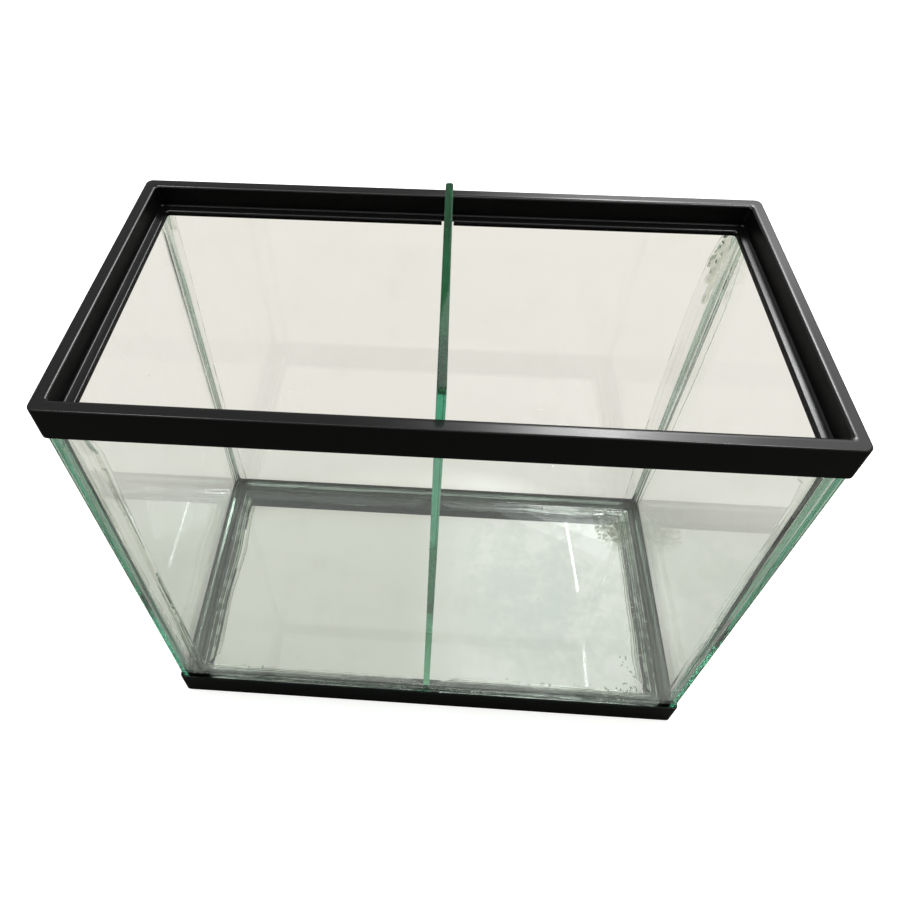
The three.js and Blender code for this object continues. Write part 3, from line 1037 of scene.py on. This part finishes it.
# Beads round the floor, mitred at the corners and smeared wide onto the floor. The leg and the widths of the
# films on the floor and on the pane are in mm. Groove whiteness, strongest on the left and right, is a
# painted highlight along the grooves
floorBeads = {
    "front": {"seed": 61, "leg": 4.4, "fill": 0.3, "films": (16, 11), "lanes": 14, "grooveGlint": 1.5},
    "right": {"seed": 67, "leg": 7.5, "fill": 0.4, "films": (27, 13), "lanes": 24, "grooveGlint": 8},
    "back": {"seed": 71, "leg": 6.5, "fill": 0.3, "films": (19, 9), "lanes": 18, "grooveGlint": 1.2},
    "left": {"seed": 79, "leg": 7.5, "fill": 0.4, "films": (27, 14), "lanes": 24, "grooveGlint": 11},
}


def floorBuilder(side):
    values = floorBeads[side]
    seed = values["seed"]
    alongX = side in ("front", "back")
    halfRun = (innerX if alongX else innerY) - beadShape["sink"]
    reach = innerY if alongX else innerX
    sign = 1 if side in ("right", "back") else -1
    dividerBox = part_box("divider_glass")
    dividerX = (dividerBox[0].x + dividerBox[1].x) / 2
    keep = innerY - dividerBox[1].y - beadShape["dividerGap"]

    # The front and back films stop short of the divider, and their ridges fade there
    def sectionAt(along):
        run = along * halfRun
        room = 1 - hump(run, dividerX, beadShape["dividerReach"]) if alongX else 1
        legs, films = [], []
        for spot, film in enumerate(values["films"]):
            legs.append(values["leg"] * mm * (1 + sway("floorLeg", seed + spot, run) * room))
            width = film * mm * (1 + sway("floorFilm", seed + 30 + spot, run))
            width += sway("floorFray", seed + 50 + spot, run)
            films.append(width if spot else keep + (width - keep) * room)
        combs = ((1.6 * room, values["lanes"]), (0.6 * room, 8))
        return beadSection(legs, films, values["fill"], seed, run, combs, values["grooveGlint"], 1.0)

    def placeAt(along, u, v):
        run = along * (halfRun - u)
        if alongX:
            return (run, sign * (reach - u), floorTop + v)
        return (sign * (reach - u), run, floorTop + v)

    def build(work):
        sweep(work, spread(-1, 1, beadShape["floorStep"] / halfRun), sectionAt, placeAt)

    return build


for side in floorBeads:
    newPiece("floor_bead_" + side, floorBuilder(side), siliconeGel, "tank", "clear_silicone",
             "floor_seal_" + side)
print("floor beads swept")

# Crumbs: torn scraps and droplets of silicone left on the floor beside the beads, most at the back right.
# Each patch is the middle and half size of an area in mm, and its crumbs per square metre. The profile
# of a crumb is the height and reach of its rings, as shares of its size
crumbs = {
    "patches": (
        ((222, 90), (24, 20), 110000),
        ((175, 106), (60, 8), 60000),
        ((234, 0), (8, 90), 22000),
        ((150, -109), (90, 7), 24000),
        ((214, -88), (7, 26), 26000),
        ((-234, 0), (8, 100), 14000),
        ((-120, -110), (100, 6), 9000),
    ),
    "seed": 8,
    "smallest": (0.35 * mm, 0.25 * mm, 0.2 * mm),
    "largest": (2.4 * mm, 1.0 * mm, 0.6 * mm),
    "lift": 0.08 * mm,
    "tilt": 0.06,
    # How milky a crumb is, least and most: the whitest are a painted highlight, standing in for glints on
    # the scraps
    "cloud": (0.5, 7.0),
    "profile": ((-0.3, 0.9), (0.0, 1.0), (0.45, 0.85), (0.8, 0.55), (1.0, 0.2)),
    "sides": 10,
    "tears": 1.7,
    "ragged": 0.5,
}


# One ragged scrap of unit size: a low dome on a closed foot
def crumbBuilder(work):
    rings = []
    sides, tears = crumbs["sides"], crumbs["tears"]
    for height, reach in crumbs["profile"]:
        ring = []
        for step in range(sides):
            turn = math.tau * step / sides
            torn = noise.noise(Vector((math.cos(turn) * tears, math.sin(turn) * tears, height)))
            ragged = reach * (1 + crumbs["ragged"] * torn)
            ring.append(work.verts.new((ragged * math.cos(turn), ragged * math.sin(turn), height)))
        rings.append(ring)
    skinRings(work, rings)


def patchBuilder(work):
    density = work.faces.layers.float.new("crumbDensity")
    height = floorTop + crumbs["lift"]
    for (x, y), (halfX, halfY), amount in crumbs["patches"]:
        corners = [work.verts.new(((x + signX * halfX) * mm, (y + signY * halfY) * mm, height))
                   for signX, signY in cornerSigns.values()]
        work.faces.new(corners)[density] = amount


def crumbTree():
    tree = bpy.data.node_groups.new("crumbScatter", "GeometryNodeTree")
    inputs = {
        "Patches": "Geometry", "Scrap": "Object", "Seed": "Int", "Smallest": "Vector", "Largest": "Vector",
        "Least turn": "Vector", "Most turn": "Vector", "Clearest": "Float", "Whitest": "Float",
        "Finish": "Material",
    }
    for name, kind in inputs.items():
        tree.interface.new_socket(name, in_out="INPUT", socket_type="NodeSocket" + kind)
    tree.interface.new_socket("Crumbs", in_out="OUTPUT", socket_type="NodeSocketGeometry")
    given = addNode(tree, "NodeGroupInput").outputs
    density = addNode(tree, "GeometryNodeInputNamedAttribute", {"Name": "crumbDensity"}, data_type="FLOAT")
    points = addNode(tree, "GeometryNodeDistributePointsOnFaces", {
        "Mesh": given["Patches"], "Density": density, "Seed": given["Seed"],
    })
    size = addNode(tree, "FunctionNodeRandomValue", {
        "Min": given["Smallest"], "Max": given["Largest"], "Seed": given["Seed"],
    }, data_type="FLOAT_VECTOR")
    turn = addNode(tree, "FunctionNodeRandomValue", {
        "Min": given["Least turn"], "Max": given["Most turn"], "Seed": given["Seed"],
    }, data_type="FLOAT_VECTOR")
    scrap = addNode(tree, "GeometryNodeObjectInfo", {"Object": given["Scrap"]})
    placed = addNode(tree, "GeometryNodeInstanceOnPoints", {
        "Points": points, "Instance": scrap.outputs["Geometry"], "Rotation": turn, "Scale": size,
    })
    # Each crumb's milkiness; the whitest paint a highlight
    cloud = addNode(tree, "FunctionNodeRandomValue", {
        2: given["Clearest"], 3: given["Whitest"], "Seed": given["Seed"],
    }, data_type="FLOAT")
    clouded = addNode(tree, "GeometryNodeStoreNamedAttribute", {
        "Geometry": placed, "Name": "bulk", "Value": cloud,
    }, data_type="FLOAT", domain="INSTANCE")
    real = addNode(tree, "GeometryNodeRealizeInstances", {"Geometry": clouded})
    finished = addNode(tree, "GeometryNodeSetMaterial", {"Geometry": real, "Material": given["Finish"]})
    addNode(tree, "NodeGroupOutput", {"Crumbs": finished})
    return tree


def scatterCrumbs():
    patches = buildObject("crumbPatches", patchBuilder)
    scrap = buildObject("crumbScrap", crumbBuilder)
    tree = crumbTree()
    scatter = patches.modifiers.new("crumbScatter", "NODES")
    scatter.node_group = tree
    clearest, whitest = crumbs["cloud"]
    tilt = crumbs["tilt"]
    chosen = {
        "Scrap": scrap, "Seed": crumbs["seed"], "Smallest": crumbs["smallest"],
        "Largest": crumbs["largest"], "Least turn": (-tilt, -tilt, 0.0), "Most turn": (tilt, tilt, math.tau),
        "Clearest": clearest, "Whitest": whitest, "Finish": siliconeGel,
    }
    for item in tree.interface.items_tree:
        if item.name in chosen:
            scatter[item.identifier] = chosen[item.name]
    bpy.context.view_layer.update()
    view = bpy.context.evaluated_depsgraph_get()
    mesh = bpy.data.meshes.new_from_object(patches.evaluated_get(view), depsgraph=view)
    patches.modifiers.remove(scatter)
    for used in (patches, scrap):
        bpy.data.objects.remove(used)
    piece = bpy.data.objects.new("silicone_crumbs", mesh)
    scene.collection.objects.link(piece)
    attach(piece, "tank")
    print("crumbs scattered:", len(mesh.polygons), "faces")


scatterCrumbs()

# Silicone in the joints: it wets both panes, so light passes from one pane into the next
jointFill = {
    "sink": 0.05 * mm,
    "recess": 0.5 * mm,
    "ripple": 0.12 * mm,
    "rippleSize": 30 * mm,
    "hollow": 0.2 * mm,
    "floorRecess": 0.4 * mm,
    "step": 3 * mm,
}


def jointBuilder(corner):
    signX, signY = cornerSigns[corner]
    low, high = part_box("corner_bond_" + corner)
    sink = jointFill["sink"]
    near, far, inner = sideEnd - sink, innerY + sink, innerX - sink

    def sectionAt(along):
        wave = jointFill["ripple"] * wander(signX + 2 * signY, along, jointFill["rippleSize"])
        outer = outerX - jointFill["recess"] + wave
        deepest = outer - jointFill["hollow"]
        return [(inner, near, 0), (outer, near, 0), (deepest, (near + far) / 2, 0),
                (outer, far, 0), (inner, far, 0)]

    def placeAt(along, u, v):
        return (signX * u, signY * v, along)

    def build(work):
        sweep(work, spread(low.z, high.z, jointFill["step"]), sectionAt, placeAt)

    return build


def floorJointBuilder(work):
    low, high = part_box("floor_glass")
    sink = jointFill["sink"]
    loops = []
    for halfX, halfY in ((innerX + sink, innerY + sink), (high.x - sink, high.y - sink)):
        for height in (low.z + jointFill["floorRecess"], high.z - sink):
            loops.append([work.verts.new((signX * halfX, signY * halfY, height))
                          for signX, signY in cornerSigns.values()])
    outerLow, outerHigh, innerLow, innerHigh = loops
    skinRings(work, (outerLow, outerHigh, innerHigh, innerLow, outerLow), capped=False)


for corner in cornerSigns:
    newPiece("corner_joint_" + corner, jointBuilder(corner), jointSilicone, "tank", "clear_silicone",
             "corner_bond_" + corner)
newPiece("floor_joint", floorJointBuilder, jointSilicone, "tank", "clear_silicone", "floor_bond")
print("joints filled")

# Divider: 1/4 in sheet with ground arrises, nipped here and there, most along the left one. The foot
# is raw below the second of the heights in rawFoot
dividerSheet = {
    "arris": 0.6 * mm,
    "arrisBelly": 0.3,
    "arrisWaver": 0.12,
    "cornerArris": 1.9 * mm,
    "cornerReach": 5 * mm,
    "corner": 4 * mm,
    "cornerSteps": 8,
    "step": 1.5 * mm,
    "plainStep": 6 * mm,
    "chipSeed": 5,
    "chipShares": (0.18, 0.054),
    "chipDepth": 1.0 * mm,
    "rawFoot": (165 * mm, 140 * mm),
}


def dividerBuilder(work):
    values = dividerSheet
    low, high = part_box("divider_glass")
    radius, arris, belly = values["corner"], values["arris"], values["arrisBelly"]
    steps, reach = values["cornerSteps"], values["cornerReach"]
    topLeft, topRight = low.y + radius, high.y - radius
    cornerZ = high.z - radius

    def cornerArc(centreY, quarter):
        for step in range(1, steps):
            turn = math.pi / 2 * (quarter + step / steps)
            outY, outZ = math.cos(turn), math.sin(turn)
            yield centreY + radius * outY, cornerZ + radius * outZ, outY, outZ

    # Each point of the outline is its place along Y, its height and the way that faces out
    outline = [(along, low.z, 0, -1) for along in spread(low.y, high.y, values["plainStep"])[1:-1]]
    outline += [(high.y, height, 1, 0) for height in spread(low.z, cornerZ, values["plainStep"])]
    outline += cornerArc(topRight, 0)
    outline += [(along, high.z, 0, 1) for along in spread(topRight, topLeft, values["step"])]
    outline += cornerArc(topLeft, 1)
    outline += [(low.y, height, -1, 0) for height in spread(cornerZ, low.z, values["step"])]
    draw = random.Random(values["chipSeed"])
    rings = [[] for ring in range(6)]
    for along, height, outY, outZ in outline:
        nearCorner = hump(abs(along), high.y, reach) * hump(height, high.z, reach)
        insets = []
        for chipShare in values["chipShares"]:
            chipped = draw.random() < chipShare
            deep = values["chipDepth"] * draw.random() ** 2 if chipped else 0.0
            ground = arris + (values["cornerArris"] - arris) * nearCorner
            insets.append(ground * (1 + values["arrisWaver"] * draw.uniform(-1, 1)) + deep)
        left, right = insets
        for ring, x, inset in (
            (0, low.x, left), (1, low.x + left * belly, left * belly), (2, low.x + left, 0.0),
            (3, high.x - right, 0.0), (4, high.x - right * belly, right * belly), (5, high.x, right),
        ):
            rings[ring].append(work.verts.new((x, along - outY * inset, height - outZ * inset)))
    skinRings(work, rings)


dividerGlass = glassMaterial("float_divider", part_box("divider_glass"), 1, 1.2 * mm, sheet=True)
newPiece("divider_sheet", dividerBuilder, dividerGlass, "divider", "divider_glass",
         "divider_glass", sharpAngle=12)
print("divider cut")
